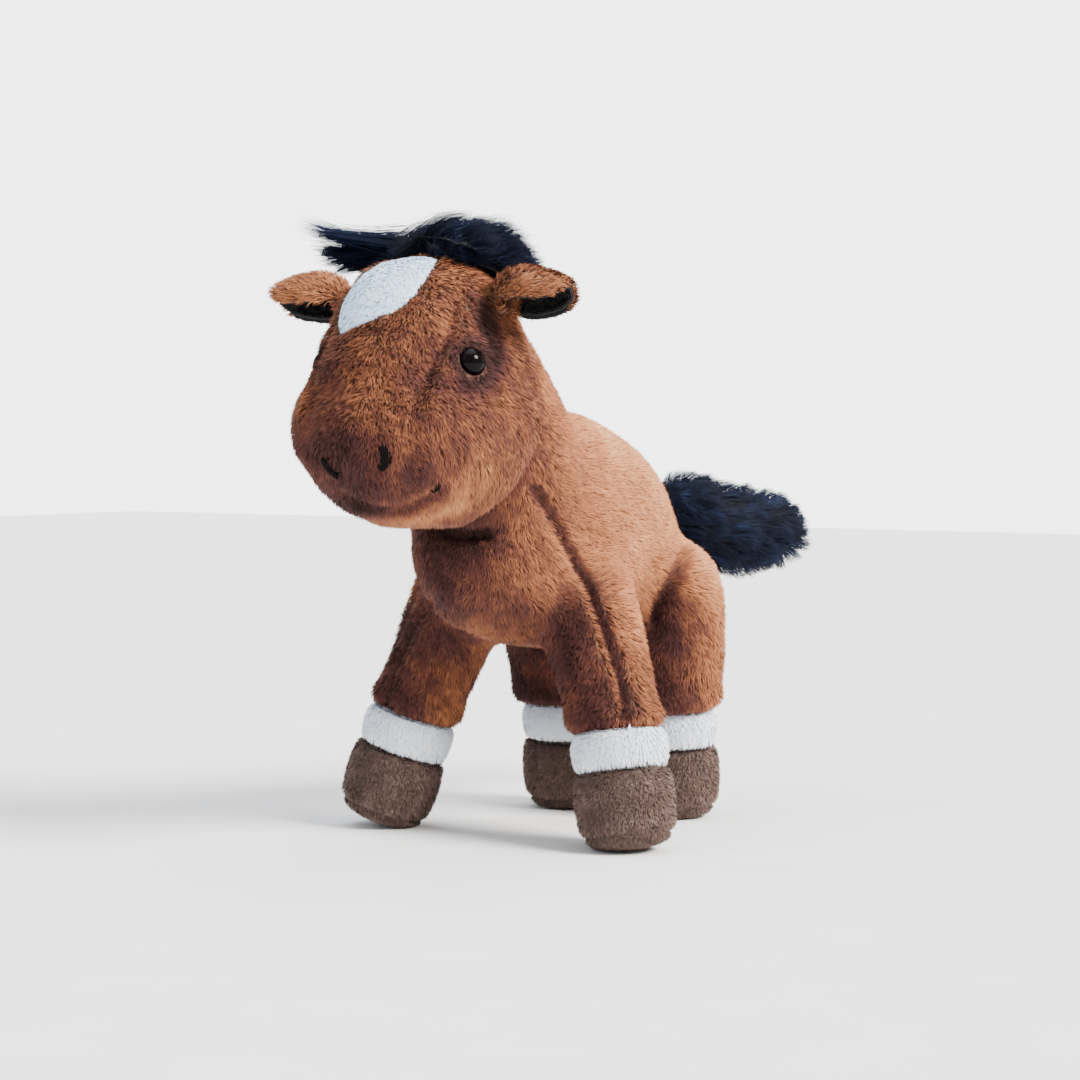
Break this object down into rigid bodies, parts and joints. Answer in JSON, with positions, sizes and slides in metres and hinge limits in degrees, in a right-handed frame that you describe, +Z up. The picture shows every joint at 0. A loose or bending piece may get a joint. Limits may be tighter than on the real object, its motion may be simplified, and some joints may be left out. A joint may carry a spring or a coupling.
{
  "type": "plush horse",
  "caption": "Stuffed plush horse standing on four padded legs, with white socks and forehead patch, black mane, upswept tail, floppy ears and glossy eyes.",
  "frame": {"origin": "on the ground, below the middle of the outer box", "axes": "+Z up, the horse faces -Y and its left side is +X"},
  "size_m": [0.165, 0.3138, 0.2558],
  "materials": {
    "plush_brown": "short brown pile",
    "plush_white": "short white pile",
    "plush_hoof": "dark brown sheared pile",
    "pile_black": "long blue-black pile",
    "ear_lining": "flat black pile",
    "stuffing": "loose polyester fibre",
    "eye_black": "polished",
    "washer_white": "moulded"
  },
  "bodies": {
    "torso": {"torso": "plush_brown", "torso_filling": "stuffing"},
    "neck": {"neck": "plush_brown", "neck_filling": "stuffing"},
    "head": {"head": "plush_brown", "forehead_patch": "plush_white", "head_filling": "stuffing", "eye_left": "eye_black", "eye_right": "eye_black", "eye_washer_left": "washer_white", "eye_washer_right": "washer_white", "mane": "pile_black", "forelock": "pile_black"},
    "ear_left": {"ear_left": "plush_brown", "ear_lining_left": "ear_lining"},
    "ear_right": {"ear_right": "plush_brown", "ear_lining_right": "ear_lining"},
    "tail": {"tail": "pile_black"},
    "leg_front_left": {"leg_front_left": "plush_brown", "leg_filling_front_left": "stuffing", "sock_front_left": "plush_white", "hoof_front_left": "plush_hoof", "hoof_sole_front_left": "plush_hoof"},
    "leg_front_right": {"leg_front_right": "plush_brown", "leg_filling_front_right": "stuffing", "sock_front_right": "plush_white", "hoof_front_right": "plush_hoof", "hoof_sole_front_right": "plush_hoof"},
    "leg_hind_left": {"leg_hind_left": "plush_brown", "leg_filling_hind_left": "stuffing", "sock_hind_left": "plush_white", "hoof_hind_left": "plush_hoof", "hoof_sole_hind_left": "plush_hoof"},
    "leg_hind_right": {"leg_hind_right": "plush_brown", "leg_filling_hind_right": "stuffing", "sock_hind_right": "plush_white", "hoof_hind_right": "plush_hoof", "hoof_sole_hind_right": "plush_hoof"}
  },
  "joints": [
    {"name": "neck_bend", "type": "hinge", "parent": "torso", "child": "neck", "pos_m": [-0.00074, -0.04949, 0.156], "axis": [1, 0, 0], "range_deg": [-10, 8], "stiffness_Nm_per_rad": 1.5},
    {"name": "head_turn", "type": "hinge", "parent": "neck", "child": "head", "pos_m": [-0.00074, -0.07149, 0.19], "axis": [0, -0.5433, 0.8396], "range_deg": [-28, 12], "stiffness_Nm_per_rad": 0.6},
    {"name": "ear_left_flop", "type": "hinge", "parent": "head", "child": "ear_left", "pos_m": [0.03237, -0.09619, 0.22405], "axis": [0.0431, -0.9991, 0], "range_deg": [-4, 18], "stiffness_Nm_per_rad": 0.02},
    {"name": "ear_right_flop", "type": "hinge", "parent": "head", "child": "ear_right", "pos_m": [-0.02576, -0.10436, 0.22405], "axis": [-0.2339, 0.9723, 0], "range_deg": [-4, 18], "stiffness_Nm_per_rad": 0.02},
    {"name": "tail_lift", "type": "hinge", "parent": "torso", "child": "tail", "pos_m": [-0.00074, 0.06459, 0.135], "axis": [-0.9272, 0.3746, 0], "range_deg": [-15, 8], "stiffness_Nm_per_rad": 0.15},
    {"name": "leg_front_left_swing", "type": "hinge", "parent": "torso", "child": "leg_front_left", "pos_m": [0.03138, -0.02365, 0.09851], "axis": [0.9034, 0.106, 0.4155], "range_deg": [-12, 12], "stiffness_Nm_per_rad": 0.8},
    {"name": "leg_front_right_swing", "type": "hinge", "parent": "torso", "child": "leg_front_right", "pos_m": [-0.03286, -0.02365, 0.09998], "axis": [0.9407, -0.0646, -0.333], "range_deg": [-12, 12], "stiffness_Nm_per_rad": 0.8},
    {"name": "leg_hind_left_swing", "type": "hinge", "parent": "torso", "child": "leg_hind_left", "pos_m": [0.0283, 0.04551, 0.1005], "axis": [0.9999, 0.002, -0.0146], "range_deg": [-12, 12], "stiffness_Nm_per_rad": 0.8},
    {"name": "leg_hind_right_swing", "type": "hinge", "parent": "torso", "child": "leg_hind_right", "pos_m": [-0.02978, 0.04551, 0.1005], "axis": [0.9999, -0.002, 0.0146], "range_deg": [-12, 12], "stiffness_Nm_per_rad": 0.8}
  ]
}
